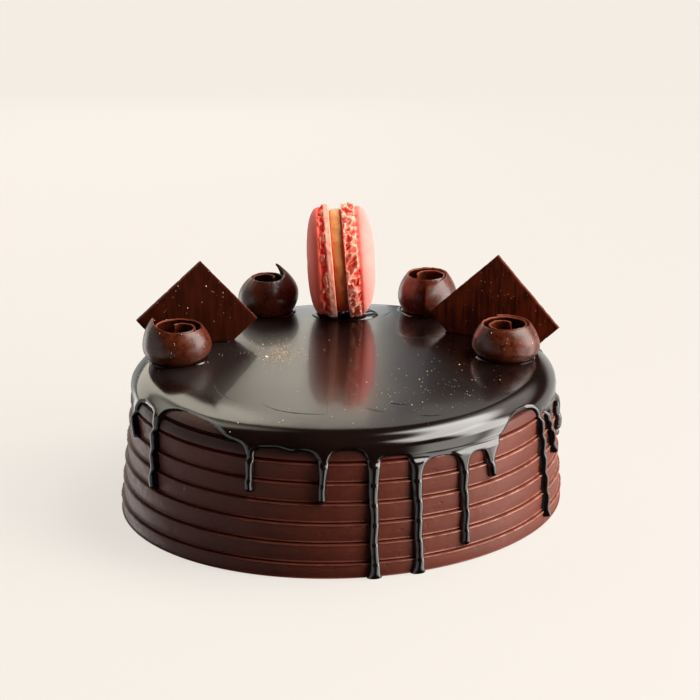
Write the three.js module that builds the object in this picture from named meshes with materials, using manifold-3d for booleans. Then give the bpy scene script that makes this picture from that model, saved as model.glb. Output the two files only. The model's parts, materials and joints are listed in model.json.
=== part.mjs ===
// Round truffle cake, 7 in: a chocolate body with combed, lapped bands round its side,
// a glossy glaze that runs down it in drips, and on top a macaron standing on edge,
// two square chocolate plaques and four rolled chocolate curls.
// Millimetres, +Z up. The origin is the middle of the underside, the front faces -Y.

import * as THREE from 'three';
import { mergeVertices } from 'three/addons/utils/BufferGeometryUtils.js';
import Module from 'manifold-3d';

const wasm = await Module();
wasm.setup();

// ---- driving dimensions ----

const gap = 0.3; // between pieces that touch
const shoulderGap = 0.5; // under the facets of the glaze's rounded shoulder
const weld = 0.001; // vertices closer than this are one
const degree = Math.PI / 180;

const cake = {
  baseRadius: 89.2, // over the proud edges of the lowest band
  waistRadius: 84.9, // the same where the shoulder starts
  shoulderStart: 47, // height at which the side turns in
  flatRadius: 75.5, // of the level top
  ovalStretch: 3.2, // the base is this much longer along ovalAzimuth, and shorter across it
  ovalAzimuth: 45,
  ovalFade: 0.5, // share of the stretch that is gone at the top
  lean: 0.8, // the top lies this far towards +X
  segments: 60,
};

const band = {
  lowest: 6.4, // height of the first band
  pitch: 7.95, // of the others
  count: 6,
  // share of the band's height, and how far the surface lies inside the proud edge
  profile: [[0, 2.1], [0.1, 0.95], [0.45, 0.55], [0.8, 0], [0.94, 0.7]],
};

const glaze = {
  top: 57.3, // height of the level top
  topSkin: 1.6,
  sideSkin: 1.2,
  columnStep: 3.5, // degrees, about
  outerSteps: 5,
  innerSteps: 6,
  archPower: 2.6, // how square the arches between the drips are
};

// each drip: azimuth, width, height of its end, height of the skirt's edge where it leaves,
// and height of the edge's arch on its way to the next drip
const drips = [
  [-156.5, 3.8, 37.5, 46, 50.5],
  [-144.3, 3.8, 23, 49, 56.8],
  [-114, 3.6, 33, 50, 52],
  [-94.6, 4, 30, 46.3, 51.9],
  [-81.7, 4.6, 0.5, 44.8, 47.7],
  [-69.8, 5, 0.5, 42.2, 45.3],
  [-56.3, 4, 7.4, 40, 44.2],
  [-46.7, 4.6, 31.7, 38.6, 53.2],
  [-22.7, 2.9, 4.2, 47, 46],
  [-12.8, 3.4, 25.8, 42, 45],
  [-3, 3.6, 33, 42, 50],
  [12, 4, 20, 45, 50],
  [31, 3.6, 36, 46, 49.5],
  [46, 4.4, 12, 45, 51],
  [63, 3.6, 30, 45.5, 49.5],
  [82, 4.6, 8, 44.5, 52],
  [101, 4, 25, 46, 50.5],
  [118, 3.6, 34, 45.5, 51.5],
  [139, 4.4, 15, 45, 50.5],
  [156, 3.8, 28, 45, 49.5],
  [176, 4, 18, 46, 50.5],
].map(([azimuth, width, end, root, arch]) => ({ azimuth, width, end, root, arch }));

const dripShape = {
  proud: 2, // of the cake's side
  sides: 4,
  rootSteps: [2, 0, -3], // heights of its first sections, from where it leaves the skirt
  runSteps: [0.5, 0.88, 1], // and shares of its run at which the others lie
  wander: 0.55, // sideways, mm
  wanderLength: 24, // of one swing, mm
  flare: 0.5, // the start is this much wider
  bulb: 0.2, // and so is the end
  clear: 0.1, // its back stands this far off the skirt's
};

const macaron = {
  x: -0.4,
  y: 60.5,
  lean: -2.2, // the top leans to the left
  yaw: 1.5,
  footRadius: 23.3,
  domeRadius: 22.3,
  footWidth: 6.3,
  domeHeight: 5.7,
  fillingRadius: 21.2,
  fillingWidth: 4.4,
  ruffle: 0.55,
  ruffles: 16,
  segments: 44,
  sunk: 0.3, // below the glaze's level top
};

const collar = {
  rise: 1.5, // above the level top
  halfLength: 15.6, // along the macaron's width
  halfDepth: 11,
  segments: 28,
  rings: 4,
};

const plaqueThickness = 1.8;
// x and y are where the plaque's middle enters the glaze, depth is how far its corner goes in
const plaques = {
  plaque_left: { side: 35.6, x: -60.5, y: 23.6, depth: 14.3, yaw: 15, lean: -3.4, spin: -3.4 },
  plaque_right: { side: 38.6, x: 61.3, y: 31.6, depth: 19.3, yaw: -17.5, lean: 2.5, spin: -1.9 },
};

const ribbonThickness = 1.1;
const ribbonLevels = 4;
const ribbonStationsPerTurn = 18;
// radius is the outer one at the barrel's belly; end is where the outer end of the roll lies;
// tip is how far the ribbon's upper corner rises there, and stand how far it stands off;
// footShare is how much of its belly's curve it takes down to its foot
const curls = {
  curl_front_left: {
    x: -65.8, y: 5.6, radius: 13.9, innerRadius: 4.3, height: 13.6, turns: 1.85,
    end: 172, winding: -1, tip: 3.4, stand: 0.5, belly: 0.4, waist: 0.27, footShare: 1.02,
  },
  curl_front_right: {
    x: 65.8, y: 9, radius: 14.2, innerRadius: 4.3, height: 13.6, turns: 1.85,
    end: 118, winding: 1, tip: 0.3, stand: 0.5, belly: 0.36, waist: 0.29, footShare: 0.85,
  },
  curl_back_left: {
    x: -31, y: 67, radius: 12.8, innerRadius: 4.4, height: 14.2, turns: 1.7,
    end: 55, winding: 1, tip: 5.2, stand: 0.4, belly: 0.47, waist: 0.38, footShare: 0.8,
  },
  curl_back_right: {
    x: 35.2, y: 68, radius: 12.9, innerRadius: 4.6, height: 15.6, turns: 1.75,
    end: -84, winding: -1, tip: -0.6, stand: 1.5, belly: 0.42, waist: 0.3, footShare: 0.8,
  },
};

// ---- materials ----

function material(color, roughness) {
  return new THREE.MeshStandardMaterial({ color, roughness, metalness: 0 });
}

const materials = {
  ganache: material('#4a2218', 0.45),
  glaze: material('#170a07', 0.08),
  shell: material('#e8776a', 0.6),
  filling: material('#c98f4a', 0.45),
  plaque: material('#331009', 0.5),
  curl: material('#3a150d', 0.35),
};

// ---- solids ----

// Geometry from points and triangles, turned so that its faces point out.
function geometryOf(points, triangles) {
  const corner = triangles.flat().map((i) => points[i]);
  let sixVolumes = 0;
  for (let i = 0; i < corner.length; i += 3) {
    sixVolumes += corner[i].dot(corner[i + 1].clone().cross(corner[i + 2]));
  }
  const index = sixVolumes > 0 ? triangles : triangles.map(([a, b, c]) => [a, c, b]);
  const geometry = new THREE.BufferGeometry().setFromPoints(points);
  geometry.setIndex(index.flat());
  return geometry;
}

function evenColumns(count) {
  return Array.from({ length: count }, (_, i) => ({ azimuth: (360 * i) / count }));
}

// Solid of revolution about Z whose outline may change from column to column, as the azimuth
// goes round. Each outline has the same number of points and starts and ends on the axis.
function revolve(outlineAt, columns) {
  const points = [];
  const triangles = [];
  const segments = columns.length;
  const first = outlineAt(columns[0]);
  const rows = first.length - 2;
  for (let s = 0; s < segments; s += 1) {
    const angle = columns[s].azimuth * degree;
    const outline = outlineAt(columns[s]);
    const next = ((s + 1) % segments) * rows;
    for (let row = 0; row < rows; row += 1) {
      const { x: radius, y: height } = outline[row + 1];
      points.push(new THREE.Vector3(radius * Math.cos(angle), radius * Math.sin(angle), height));
      if (row + 1 < rows) {
        const here = s * rows + row;
        const beside = next + row;
        triangles.push([here, beside, beside + 1], [here, beside + 1, here + 1]);
      }
    }
  }
  const startPole = points.push(new THREE.Vector3(0, 0, first[0].y)) - 1;
  const endPole = points.push(new THREE.Vector3(0, 0, first[rows + 1].y)) - 1;
  for (let s = 0; s < segments; s += 1) {
    const here = s * rows;
    const beside = ((s + 1) % segments) * rows;
    triangles.push([startPole, beside, here]);
    triangles.push([endPole, here + rows - 1, beside + rows - 1]);
  }
  return geometryOf(points, triangles);
}

// Solid through a row of sections. A section goes along one face and back along the other,
// so its two halves are the rungs of a ladder that closes each end.
function loft(sections) {
  const size = sections[0].length;
  const triangles = [];
  for (let k = 0; k + 1 < sections.length; k += 1) {
    for (let i = 0; i < size; i += 1) {
      const a = k * size + i;
      const b = k * size + ((i + 1) % size);
      triangles.push([a, b, b + size], [a, b + size, a + size]);
    }
  }
  const last = (sections.length - 1) * size;
  for (let i = 0; i + 1 < size / 2; i += 1) {
    const j = size - 1 - i;
    triangles.push([i, j - 1, i + 1], [i, j, j - 1]);
    triangles.push([last + i, last + i + 1, last + j - 1], [last + i, last + j - 1, last + j]);
  }
  return geometryOf(sections.flat(), triangles);
}

function solidOf(geometry) {
  const bare = geometry.clone();
  bare.deleteAttribute('normal');
  bare.deleteAttribute('uv');
  const merged = mergeVertices(bare, weld);
  const vertProperties = new Float32Array(merged.getAttribute('position').array);
  const triVerts = new Uint32Array(merged.getIndex().array);
  return new wasm.Manifold(new wasm.Mesh({ numProp: 3, vertProperties, triVerts }));
}

function geometryFrom(solid) {
  const { vertProperties, triVerts } = solid.getMesh();
  const geometry = new THREE.BufferGeometry();
  geometry.setAttribute('position', new THREE.BufferAttribute(vertProperties, 3));
  geometry.setIndex(new THREE.BufferAttribute(triVerts, 1));
  return geometry;
}

function mix(from, to, share) {
  return from + (to - from) * share;
}

// ---- the cake's side ----

function proudRadius(height) {
  return mix(cake.baseRadius, cake.waistRadius, height / cake.shoulderStart);
}

// The cake is a little oval, most of all at its base, and leans a little.
function ovalFactor(azimuth, height) {
  const share = height / glaze.top;
  const stretch = cake.ovalStretch * (1 - cake.ovalFade * share);
  const oval = stretch * Math.cos(2 * (azimuth - cake.ovalAzimuth) * degree);
  return 1 + (oval + cake.lean * share * Math.cos(azimuth * degree)) / cake.baseRadius;
}

function ovalPoint(radius, height, azimuth) {
  return new THREE.Vector2(radius * ovalFactor(azimuth, height), height);
}

// How far each face lies inside the glaze's outer one, at the side and on top.
const outerFace = { side: 0, top: 0 };
const innerFace = { side: glaze.sideSkin, top: glaze.topSkin };
const bodyFace = { side: glaze.sideSkin + shoulderGap, top: glaze.topSkin + shoulderGap };

// Quarter of an ellipse from the side, at no turn, up to the level top.
function shoulderPoint(turn, face) {
  const side = cake.waistRadius + gap + glaze.sideSkin - face.side;
  const up = glaze.top - face.top - cake.shoulderStart;
  const radius = mix(cake.flatRadius, side, Math.cos(turn));
  return [radius, cake.shoulderStart + up * Math.sin(turn)];
}

function faceRadius(height, face) {
  if (height <= cake.shoulderStart) {
    return proudRadius(height) + gap + glaze.sideSkin - face.side;
  }
  const up = glaze.top - face.top - cake.shoulderStart;
  const turn = Math.asin(Math.min((height - cake.shoulderStart) / up, 1));
  return shoulderPoint(turn, face)[0];
}

function bodyOutline({ azimuth }) {
  const outline = [[0, 0]];
  for (let number = 0; number < band.count; number += 1) {
    const bottom = number === 0 ? 0 : band.lowest + (number - 1) * band.pitch;
    const tall = number === 0 ? band.lowest : band.pitch;
    for (const [share, inset] of band.profile) {
      const height = bottom + share * tall;
      outline.push([proudRadius(height) - inset, height]);
    }
  }
  const [, grooveInset] = band.profile[0];
  const lastGroove = band.lowest + (band.count - 1) * band.pitch;
  outline.push([proudRadius(lastGroove) - grooveInset, lastGroove]);
  for (const turn of [0, 30, 60, 90]) {
    outline.push(shoulderPoint(turn * degree, bodyFace));
  }
  outline.push([0, glaze.top - bodyFace.top]);
  return outline.map(([radius, height]) => ovalPoint(radius, height, azimuth));
}

// ---- the glaze ----

function spanAfter(place) {
  const next = drips[(place + 1) % drips.length];
  return (next.azimuth - drips[place].azimuth + 360) % 360;
}

// Height of the glaze's lower edge, a share of the way from one drip to the next.
function edgeHeight(place, along) {
  const last = drips[place];
  const next = drips[(place + 1) % drips.length];
  const rise = last.arch - (last.root + next.root) / 2;
  const arch = 1 - Math.abs(2 * along - 1) ** glaze.archPower;
  return mix(last.root, next.root, along) + rise * arch;
}

// The glaze's outline is taken at each drip and evenly between them.
function glazeColumns() {
  return drips.flatMap((drip, place) => {
    const span = spanAfter(place);
    const steps = Math.round(span / glaze.columnStep);
    return Array.from({ length: steps }, (_, i) => ({
      azimuth: drip.azimuth + (span * i) / steps,
      edge: edgeHeight(place, i / steps),
    }));
  });
}

// A point of the glaze's face, a share of the way from the level top to the lower edge.
function skirtPoint(share, edge, face) {
  const quarter = ((glaze.top - cake.shoulderStart) * Math.PI) / 2;
  const aboveSide = Math.max(edge - cake.shoulderStart, 0) / (glaze.top - cake.shoulderStart);
  const onShoulder = quarter * (1 - Math.asin(Math.min(aboveSide, 1)) / (Math.PI / 2));
  const onSide = Math.max(cake.shoulderStart - edge, 0);
  const run = share * (onShoulder + onSide);
  if (run <= quarter) {
    return shoulderPoint((Math.PI / 2) * (1 - run / quarter), face);
  }
  const height = cake.shoulderStart - (run - quarter);
  return [faceRadius(height, face), height];
}

function glazeOutline({ azimuth, edge }) {
  const outline = [[0, glaze.top]];
  for (let k = 0; k <= glaze.outerSteps; k += 1) {
    outline.push(skirtPoint(k / glaze.outerSteps, edge, outerFace));
  }
  for (let k = glaze.innerSteps; k >= 0; k -= 1) {
    outline.push(skirtPoint(k / glaze.innerSteps, edge, innerFace));
  }
  outline.push([0, glaze.top - glaze.topSkin]);
  return outline.map(([radius, height]) => ovalPoint(radius, height, azimuth));
}

function dripSolid(drip) {
  const heights = dripShape.rootSteps.map((step) => drip.root + step);
  const neck = heights[heights.length - 1];
  heights.push(...dripShape.runSteps.map((share) => mix(neck, drip.end, share)));
  const sections = heights.map((height) => {
    const along = Math.max(0, (drip.root - height) / (drip.root - drip.end));
    const endness = Math.max(0, 1 - (height - drip.end) / drip.width);
    const rounding = Math.sqrt(Math.max(1 - endness ** 2, 0.06));
    const flare = 1 + dripShape.flare * (1 - along) ** 3 + dripShape.bulb * along ** 4;
    const halfWidth = (drip.width / 2) * rounding * flare;
    const proud = mix(glaze.sideSkin, dripShape.proud, Math.min(1, along * 3));
    const swing = Math.sin((2 * Math.PI * height) / dripShape.wanderLength + drip.azimuth);
    const back = faceRadius(height, innerFace);
    const section = [];
    const across = (side, out) => {
      const azimuth = drip.azimuth + (dripShape.wander * swing + side) / (back * degree);
      const { x: radius } = ovalPoint(back + out, height, azimuth);
      const turn = azimuth * degree;
      return new THREE.Vector3(radius * Math.cos(turn), radius * Math.sin(turn), height);
    };
    for (let i = 0; i <= dripShape.sides; i += 1) {
      const turn = (Math.PI * i) / dripShape.sides;
      const out = proud * rounding * Math.sin(turn) + 2 * dripShape.clear;
      section.push(across(-halfWidth * Math.cos(turn), out));
    }
    section.push(across(halfWidth, dripShape.clear), across(-halfWidth, dripShape.clear));
    return section;
  });
  return solidOf(loft(sections));
}

// A low rounded rim of glaze that the macaron sits in.
function collarSolid() {
  const outline = () => {
    const points = [new THREE.Vector2(0, glaze.top + collar.rise)];
    for (let ring = 1; ring <= collar.rings; ring += 1) {
      const turn = (Math.PI / 2) * (ring / collar.rings);
      points.push(new THREE.Vector2(Math.sin(turn), glaze.top + collar.rise * Math.cos(turn)));
    }
    points.push(new THREE.Vector2(1, glaze.top - glaze.topSkin / 2));
    points.push(new THREE.Vector2(0, glaze.top - glaze.topSkin / 2));
    return points;
  };
  const geometry = revolve(outline, evenColumns(collar.segments));
  geometry.scale(collar.halfLength, collar.halfDepth, 1);
  geometry.rotateZ(macaron.yaw * degree);
  geometry.translate(macaron.x, macaron.y, 0);
  return solidOf(geometry);
}

// ---- the macaron ----

const macaronHeight = glaze.top + gap - macaron.sunk + macaron.footRadius + macaron.ruffle;

function macaronGroup() {
  const group = new THREE.Group();
  group.position.set(macaron.x, macaron.y, macaronHeight);
  group.rotation.set(0, macaron.lean * degree, macaron.yaw * degree, 'ZYX');
  return group;
}

// One shell, standing along +Z from the filling outwards.
function shellGeometry(phase) {
  const inner = macaron.fillingWidth / 2 + gap / 2;
  const outlineAt = ({ azimuth }) => {
    const wave = Math.sin((macaron.ruffles * azimuth + phase) * degree);
    const counter = Math.sin((macaron.ruffles * azimuth * 0.5 - phase) * degree);
    const frill = macaron.ruffle * wave;
    const hollow = macaron.ruffle * counter;
    const points = [
      [0, inner],
      [macaron.footRadius - 0.9, inner],
      [macaron.footRadius + frill * 0.4, inner + macaron.footWidth * 0.2],
      [macaron.footRadius - 0.5 - hollow, inner + macaron.footWidth * 0.5],
      [macaron.footRadius - 0.2 - frill * 0.8, inner + macaron.footWidth * 0.8],
      [macaron.domeRadius - 0.5, inner + macaron.footWidth],
    ];
    for (const turn of [20, 42, 66]) {
      const out = macaron.domeRadius * Math.cos(turn * degree) ** 0.55;
      points.push([out, inner + macaron.footWidth + macaron.domeHeight * Math.sin(turn * degree)]);
    }
    points.push([0, inner + macaron.footWidth + macaron.domeHeight]);
    return points.map(([radius, along]) => new THREE.Vector2(radius, along));
  };
  return revolve(outlineAt, evenColumns(macaron.segments));
}

function fillingGeometry() {
  const half = macaron.fillingWidth / 2 - gap / 2;
  const outline = () => [
    new THREE.Vector2(0, -half),
    new THREE.Vector2(macaron.fillingRadius - 0.6, -half),
    new THREE.Vector2(macaron.fillingRadius, 0),
    new THREE.Vector2(macaron.fillingRadius - 0.6, half),
    new THREE.Vector2(0, half),
  ];
  return revolve(outline, evenColumns(macaron.segments));
}

// The room that the macaron takes in the glaze, with a gap all round.
function macaronRoom() {
  const half = macaron.fillingWidth / 2 + macaron.footWidth + macaron.domeHeight + gap;
  const reach = macaron.footRadius + macaron.ruffle + gap;
  const room = new THREE.CylinderGeometry(reach, reach, 2 * half, macaron.segments * 2);
  room.rotateZ(Math.PI / 2);
  const group = macaronGroup();
  group.updateMatrix();
  room.applyMatrix4(group.matrix);
  return solidOf(room);
}

// ---- the plaques ----

// Stands where the plaque enters the glaze, turned and leaning like it.
function plaqueStand({ x, y, yaw, lean }) {
  const stand = new THREE.Group();
  stand.position.set(x, y, glaze.top);
  stand.rotation.set(-lean * degree, 0, yaw * degree, 'ZYX');
  return stand;
}

function placeOnCorner(object, { side, depth, spin }) {
  const half = side / Math.SQRT2;
  object.position.set(-half * Math.sin(spin * degree), 0, half * Math.cos(spin * degree) - depth);
  object.rotation.set(0, -(45 + spin) * degree, 0);
  return object;
}

function plaqueSlot(plaque) {
  const wide = plaque.side + 2 * gap;
  const box = new THREE.BoxGeometry(wide, plaqueThickness + 2 * gap, wide);
  const stand = plaqueStand(plaque);
  const holder = placeOnCorner(new THREE.Object3D(), plaque);
  stand.add(holder);
  stand.updateMatrixWorld(true);
  box.applyMatrix4(holder.matrixWorld);
  return solidOf(box);
}

// ---- the curls ----

// A ribbon of chocolate rolled up on itself and bulging like a barrel.
function curlGeometry(curl) {
  const stations = Math.round(curl.turns * ribbonStationsPerTurn);
  const sections = [];
  for (let station = 0; station <= stations; station += 1) {
    const along = station / stations;
    const angle = (curl.end - curl.winding * 360 * curl.turns * (1 - along)) * degree;
    const nearEnd = Math.max(0, 1 - (1 - along) * curl.turns * 5);
    const opened = 1 - (1 - along) ** 2.5;
    const roll = mix(curl.innerRadius, curl.radius, opened) + curl.stand * nearEnd ** 2;
    const tall = curl.height * mix(0.95, 1, along) + curl.tip * nearEnd ** 2;
    const outer = [];
    const inner = [];
    for (let level = 0; level < ribbonLevels; level += 1) {
      const up = level / (ribbonLevels - 1);
      const fromBelly = up > curl.belly
        ? (up - curl.belly) / (1 - curl.belly)
        : ((curl.belly - up) / curl.belly) * curl.footShare;
      const radius = roll * (1 - curl.waist * fromBelly ** 2 * mix(0.35, 1, along));
      const place = (r) => new THREE.Vector3(r * Math.cos(angle), r * Math.sin(angle), up * tall);
      outer.push(place(radius));
      inner.unshift(place(radius - ribbonThickness));
    }
    sections.push([...outer, ...inner]);
  }
  return loft(sections);
}

// ---- assembly ----

function mesh(name, geometry, look) {
  const piece = new THREE.Mesh(geometry, look);
  piece.name = name;
  return piece;
}

function buildCake() {
  const group = new THREE.Group();
  const slots = Object.values(plaques).map(plaqueSlot);
  let body = solidOf(revolve(bodyOutline, evenColumns(cake.segments)));
  let skin = solidOf(revolve(glazeOutline, glazeColumns()));
  for (const drip of drips) {
    skin = skin.add(dripSolid(drip));
  }
  skin = skin.add(collarSolid()).subtract(macaronRoom());
  for (const slot of slots) {
    body = body.subtract(slot);
    skin = skin.subtract(slot);
  }
  group.add(mesh('cake_body', geometryFrom(body), materials.ganache));
  group.add(mesh('glaze', geometryFrom(skin), materials.glaze));
  return group;
}

function buildMacaron() {
  const group = macaronGroup();
  const left = mesh('macaron_shell_left', shellGeometry(40), materials.shell);
  const filling = mesh('macaron_filling', fillingGeometry(), materials.filling);
  const right = mesh('macaron_shell_right', shellGeometry(0), materials.shell);
  left.rotation.y = -Math.PI / 2;
  filling.rotation.y = Math.PI / 2;
  right.rotation.y = Math.PI / 2;
  group.add(left, filling, right);
  return group;
}

function buildPlaques() {
  const group = new THREE.Group();
  for (const [name, plaque] of Object.entries(plaques)) {
    const box = new THREE.BoxGeometry(plaque.side, plaqueThickness, plaque.side);
    const stand = plaqueStand(plaque);
    stand.add(placeOnCorner(mesh(name, box, materials.plaque), plaque));
    group.add(stand);
  }
  return group;
}

function buildCurls() {
  const group = new THREE.Group();
  for (const [name, curl] of Object.entries(curls)) {
    const piece = mesh(name, curlGeometry(curl), materials.curl);
    piece.position.set(curl.x, curl.y, glaze.top + gap);
    group.add(piece);
  }
  return group;
}

const truffleCake = new THREE.Group();
truffleCake.add(buildCake(), buildMacaron(), buildPlaques(), buildCurls());

export default truffleCake;
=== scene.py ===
# A round truffle cake, combed round its side and glazed, with a macaron, two chocolate
# plaques and four chocolate curls on top, dusted with gold.

import json
import math
import random
import time

import bpy
import numpy as np
from mathutils import Matrix, Vector, noise
from mathutils.bvhtree import BVHTree

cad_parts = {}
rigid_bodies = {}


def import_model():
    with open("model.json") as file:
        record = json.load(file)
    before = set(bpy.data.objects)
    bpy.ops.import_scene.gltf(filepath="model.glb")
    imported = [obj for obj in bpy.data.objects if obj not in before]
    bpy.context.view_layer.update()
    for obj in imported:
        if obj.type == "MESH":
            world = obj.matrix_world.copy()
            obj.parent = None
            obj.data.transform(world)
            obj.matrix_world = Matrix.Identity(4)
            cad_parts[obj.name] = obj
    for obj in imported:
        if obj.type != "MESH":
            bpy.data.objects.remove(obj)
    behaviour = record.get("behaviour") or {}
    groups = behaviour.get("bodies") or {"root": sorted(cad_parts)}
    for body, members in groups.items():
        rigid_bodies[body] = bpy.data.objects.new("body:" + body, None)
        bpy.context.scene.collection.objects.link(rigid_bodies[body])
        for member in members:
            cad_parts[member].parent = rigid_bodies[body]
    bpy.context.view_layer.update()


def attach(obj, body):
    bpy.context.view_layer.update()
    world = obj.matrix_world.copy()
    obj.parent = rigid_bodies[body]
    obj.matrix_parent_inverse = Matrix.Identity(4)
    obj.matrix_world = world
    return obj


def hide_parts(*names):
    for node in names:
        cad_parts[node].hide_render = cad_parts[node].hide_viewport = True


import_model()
mm = 0.001
began = time.time()


# small helpers for working on meshes

def deselectAll():
    bpy.ops.object.select_all(action="DESELECT")


def startEdit():
    bpy.ops.object.mode_set(mode="EDIT")
    bpy.ops.mesh.select_mode(type="VERT")
    bpy.ops.mesh.select_all(action="SELECT")


def endEdit():
    bpy.ops.object.mode_set(mode="OBJECT")


def faceOutwards():
    startEdit()
    bpy.ops.mesh.normals_make_consistent(inside=False)
    endEdit()


def selectOnly(piece):
    deselectAll()
    piece.select_set(True)
    bpy.context.view_layer.objects.active = piece


def selectFaces(piece, test):
    # leaves the piece in edit mode with only the faces that pass the test selected
    selectOnly(piece)
    bpy.ops.object.mode_set(mode="EDIT")
    bpy.ops.mesh.select_mode(type="FACE")
    bpy.ops.mesh.select_all(action="DESELECT")
    bpy.ops.object.mode_set(mode="OBJECT")
    for face in piece.data.polygons:
        face.select = test(face)
    bpy.ops.object.mode_set(mode="EDIT")


def takeName(name):
    piece = bpy.context.object
    piece.name = name
    piece.data.name = name
    return piece


def readPoints(piece):
    points = np.empty(3 * len(piece.data.vertices))
    piece.data.vertices.foreach_get("co", points)
    return points.reshape(-1, 3)


def writePoints(piece, points):
    piece.data.vertices.foreach_set("co", points.ravel())
    piece.data.update()


def storeValues(piece, **attributes):
    for attribute, values in attributes.items():
        layer = piece.data.attributes.new(attribute, "FLOAT", "POINT")
        layer.data.foreach_set("value", values)


def applyModifier(piece, kind, **settings):
    modifier = piece.modifiers.new(kind.lower(), kind)
    for setting, value in settings.items():
        setattr(modifier, setting, value)
    bpy.context.view_layer.objects.active = piece
    bpy.ops.object.modifier_apply(modifier=modifier.name)


def moveMesh(piece, matrix):
    piece.data.transform(matrix)
    piece.data.update()


def smoothByAngle(piece, angle):
    selectOnly(piece)
    bpy.ops.object.shade_smooth_by_angle(angle=math.radians(angle))


def finishPiece(piece, materials, nodes=()):
    # materials are its slots in order, nodes the solids that it stands for
    for material in materials[len(piece.data.materials):]:
        piece.data.materials.append(material)
    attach(piece, "root")
    if nodes:
        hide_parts(*nodes)
    print("made", piece.name, len(piece.data.polygons), "faces", round(time.time() - began, 1), "s")


def makeStrip(name, columns, rows):
    # a grid, with its places from 0 to 1 along it and from -1 to 1 across it
    deselectAll()
    bpy.ops.mesh.primitive_grid_add(x_subdivisions=columns, y_subdivisions=rows, size=2,
                                    location=(0, 0, 0))
    piece = takeName(name)
    flat = readPoints(piece)
    return piece, (flat[:, 0] + 1) / 2, flat[:, 1]


def drawProfile(name, points):
    # a chain of edges in the XZ plane, extruded point by point
    deselectAll()
    bpy.ops.mesh.primitive_plane_add(size=mm, location=(0, 0, 0))
    piece = takeName(name)
    startEdit()
    bpy.ops.mesh.merge(type="CENTER")
    bpy.ops.transform.translate(value=(points[0][0], 0, points[0][1]))
    for (x, z), (nextX, nextZ) in zip(points, points[1:]):
        step = (nextX - x, 0, nextZ - z)
        bpy.ops.mesh.extrude_region_move(TRANSFORM_OT_translate={"value": step})
    endEdit()
    return piece


def spinProfile(name, points, steps):
    # points are (radius, height) in mm, from the axis or an edge to the other end
    piece = drawProfile(name, [(radius * mm, height * mm) for radius, height in points])
    closest = 0.002 * mm
    applyModifier(piece, "SCREW", axis="Z", angle=2 * math.pi, screw_offset=0, steps=steps,
                  render_steps=steps, use_merge_vertices=True, merge_threshold=closest)
    startEdit()
    bpy.ops.mesh.remove_doubles(threshold=closest)
    endEdit()
    faceOutwards()
    return piece


def smoothStep(low, high, value):
    share = np.clip((value - low) / (high - low), 0, 1)
    return share * share * (3 - 2 * share)


def mix(low, high, share):
    return low + (high - low) * share


def degreesAway(azimuth, middle):
    return (azimuth - middle + 180) % 360 - 180


def wobble(points, length, seed=0.0):
    # smooth noise of about -1 to 1 at each point, length is its grain in the points' unit
    shift = Vector((seed * 7.31, seed * 3.17, seed * 5.77))
    return np.array([noise.noise(Vector(point) / length + shift) for point in points])


# small helpers for materials

def addNode(tree, kind, inputs=None, **settings):
    node = tree.nodes.new(kind)
    for setting, value in settings.items():
        setattr(node, setting, value)
    for socket, value in (inputs or {}).items():
        if isinstance(value, bpy.types.NodeSocket):
            tree.links.new(value, node.inputs[socket])
        else:
            node.inputs[socket].default_value = value
    return node


def startMaterial(name, **sockets):
    material = bpy.data.materials.new(name)
    material.use_nodes = True
    tree = material.node_tree
    principled = tree.nodes["Principled BSDF"]
    for socket, value in sockets.items():
        principled.inputs[socket.replace("_", " ")].default_value = value
    return material, tree, principled


def objectPoints(tree, scale=(1, 1, 1)):
    where = addNode(tree, "ShaderNodeTexCoord")
    mapping = addNode(tree, "ShaderNodeMapping", {0: where.outputs["Object"], 3: scale})
    return mapping.outputs[0]


def axisOf(tree, points, axis):
    return addNode(tree, "ShaderNodeSeparateXYZ", {0: points}).outputs[axis]


def valueOf(tree, attribute):
    return addNode(tree, "ShaderNodeAttribute", attribute_name=attribute).outputs["Fac"]


def grain(tree, points, scale, detail=3.0, rough=0.55, distort=0.0):
    texture = addNode(tree, "ShaderNodeTexNoise", {
        "Vector": points, "Scale": scale, "Detail": detail,
        "Roughness": rough, "Distortion": distort,
    })
    return texture.outputs[0]


def spread(tree, value, low, high, toLow=0.0, toHigh=1.0, smooth=False):
    kind = "SMOOTHSTEP" if smooth else "LINEAR"
    node = addNode(tree, "ShaderNodeMapRange", {
        0: value, 1: low, 2: high, 3: toLow, 4: toHigh,
    }, interpolation_type=kind)
    return node.outputs[0]


def maths(tree, operation, *values):
    node = addNode(tree, "ShaderNodeMath", dict(enumerate(values)), operation=operation)
    return node.outputs[0]


def layUp(tree, *layers):
    # layers are (value, weight)
    total = None
    for value, weight in layers:
        part = maths(tree, "MULTIPLY", value, weight)
        total = part if total is None else maths(tree, "ADD", total, part)
    return total


def blendColours(tree, share, first, second):
    node = addNode(tree, "ShaderNodeMix", {0: share, 6: first, 7: second}, data_type="RGBA")
    return node.outputs[2]


def addBump(tree, principled, layers):
    # layers are (height, distance in mm, strength), from the coarsest on
    normal = None
    for height, distance, strength in layers:
        inputs = {"Height": height, "Distance": distance * mm, "Strength": strength}
        if normal is not None:
            inputs["Normal"] = normal
        normal = addNode(tree, "ShaderNodeBump", inputs).outputs[0]
    tree.links.new(normal, principled.inputs["Normal"])


def paint(tree, principled, share, first, second):
    colour = blendColours(tree, share, first, second)
    tree.links.new(colour, principled.inputs["Base Color"])


def makeEdgeMaterial(name, roughness, specular, first, second):
    # where chocolate is cut or broken off; its paler colour there is partly its own and partly a
    # painted highlight
    material, tree, principled = startMaterial(name, Roughness=roughness, Specular_IOR_Level=specular)
    cloud = grain(tree, objectPoints(tree), 800, 3)
    paint(tree, principled, cloud, first, second)
    addBump(tree, principled, [(cloud, 0.1, 0.5)])
    return material


# the shape of the cake, shared by its body and its glaze, in mm and degrees

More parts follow.
